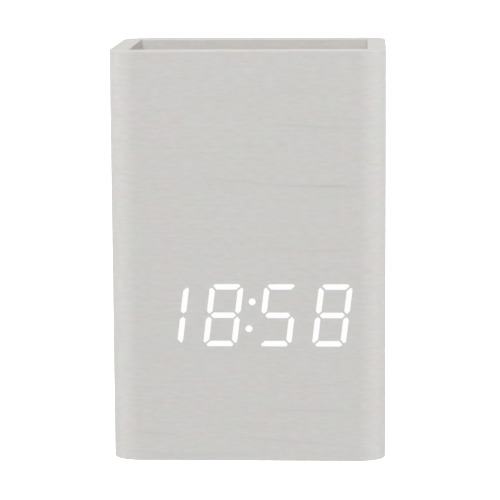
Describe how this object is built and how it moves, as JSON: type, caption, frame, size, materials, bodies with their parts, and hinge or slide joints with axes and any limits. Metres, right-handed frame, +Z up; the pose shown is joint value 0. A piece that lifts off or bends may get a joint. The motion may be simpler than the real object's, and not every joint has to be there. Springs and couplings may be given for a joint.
{
  "type": "digital desk clock",
  "caption": "Tall rounded desk clock in pale wood grain, with the time shining through its lower front, an open pen cup in the top and buttons behind.",
  "frame": {"origin": "middle of the case on the surface that it stands on", "axes": "+X to the right seen from the front, +Y to the back, +Z up"},
  "size_m": [0.08, 0.0568, 0.12],
  "materials": {
    "grain_film": "white-washed wood grain, matt",
    "faced_board": "pale wood grain facing on board, matt",
    "lit_bar": "white light through the film",
    "diffuser": "milky diffusing sheet",
    "reflector": "white moulded plastic, matt",
    "light_chip": "pale yellow lens",
    "circuit_board": "green solder mask",
    "black_plastic": "black moulded plastic, fine grain",
    "case_plastic": "dark grey moulded plastic, fine grain",
    "white_plastic": "cream moulded plastic",
    "button": "pale satin plastic",
    "screw_steel": "zinc plated",
    "spring_steel": "nickel plated",
    "can_steel": "drawn steel can",
    "brass": "turned brass",
    "tinned_lead": "tinned",
    "ceramic_chip": "black glazed ceramic",
    "capacitor_sleeve": "dark blue sleeve",
    "cell": "printed wrap in two plain colours",
    "red_wire": "red insulation",
    "black_wire": "black insulation",
    "ribbon": "grey flat cable"
  },
  "bodies": {
    "case": {"grain_film": "grain_film", "front_board": "faced_board", "back_board": "faced_board", "left_board": "faced_board", "right_board": "faced_board", "cup_floor": "faced_board", "screw_blocks": "faced_board", "digit_hour_tens": "lit_bar", "digit_hour_units": "lit_bar", "digit_minute_tens": "lit_bar", "digit_minute_units": "lit_bar", "colon_dots": "lit_bar", "diffuser_sheet": "diffuser", "display_reflector": "reflector", "light_chips": "light_chip", "display_board": "circuit_board", "control_board": "circuit_board", "display_board_spacers": "white_plastic", "display_board_screws": "screw_steel", "control_board_standoffs": "brass", "control_board_screws": "screw_steel", "clock_chip": "black_plastic", "chip_leads": "tinned_lead", "crystal": "can_steel", "capacitor": "capacitor_sleeve", "buzzer": "black_plastic", "chip_resistors": "ceramic_chip", "cable_sockets": "white_plastic", "ribbon_cable": "ribbon", "switch_bodies": "black_plastic", "power_jack": "black_plastic", "power_jack_pin": "brass", "coin_cell_holder": "spring_steel", "coin_cell": "can_steel", "microphone": "can_steel", "temperature_sensor": "black_plastic", "lead_socket": "white_plastic", "red_lead": "red_wire", "black_lead": "black_wire", "base_cover": "case_plastic", "base_screws": "screw_steel", "battery_cells": "cell", "contact_plates": "spring_steel", "battery_springs": "spring_steel"},
    "set_button": {"set_button": "button", "set_plunger": "white_plastic"},
    "up_button": {"up_button": "button", "up_plunger": "white_plastic"},
    "down_button": {"down_button": "button", "down_plunger": "white_plastic"},
    "battery_door": {"battery_door": "case_plastic"}
  },
  "joints": [
    {"name": "set_press", "type": "slide", "parent": "case", "child": "set_button", "axis": [0, -1, 0], "range_m": [0, 0.0005], "stiffness_N_per_m": 500},
    {"name": "up_press", "type": "slide", "parent": "case", "child": "up_button", "axis": [0, -1, 0], "range_m": [0, 0.0005], "stiffness_N_per_m": 500},
    {"name": "down_press", "type": "slide", "parent": "case", "child": "down_button", "axis": [0, -1, 0], "range_m": [0, 0.0005], "stiffness_N_per_m": 500},
    {"name": "battery_door_hinge", "type": "hinge", "parent": "case", "child": "battery_door", "pos_m": [-0.026, 0, 0.0028], "axis": [0, 1, 0], "range_deg": [0, 90]}
  ]
}
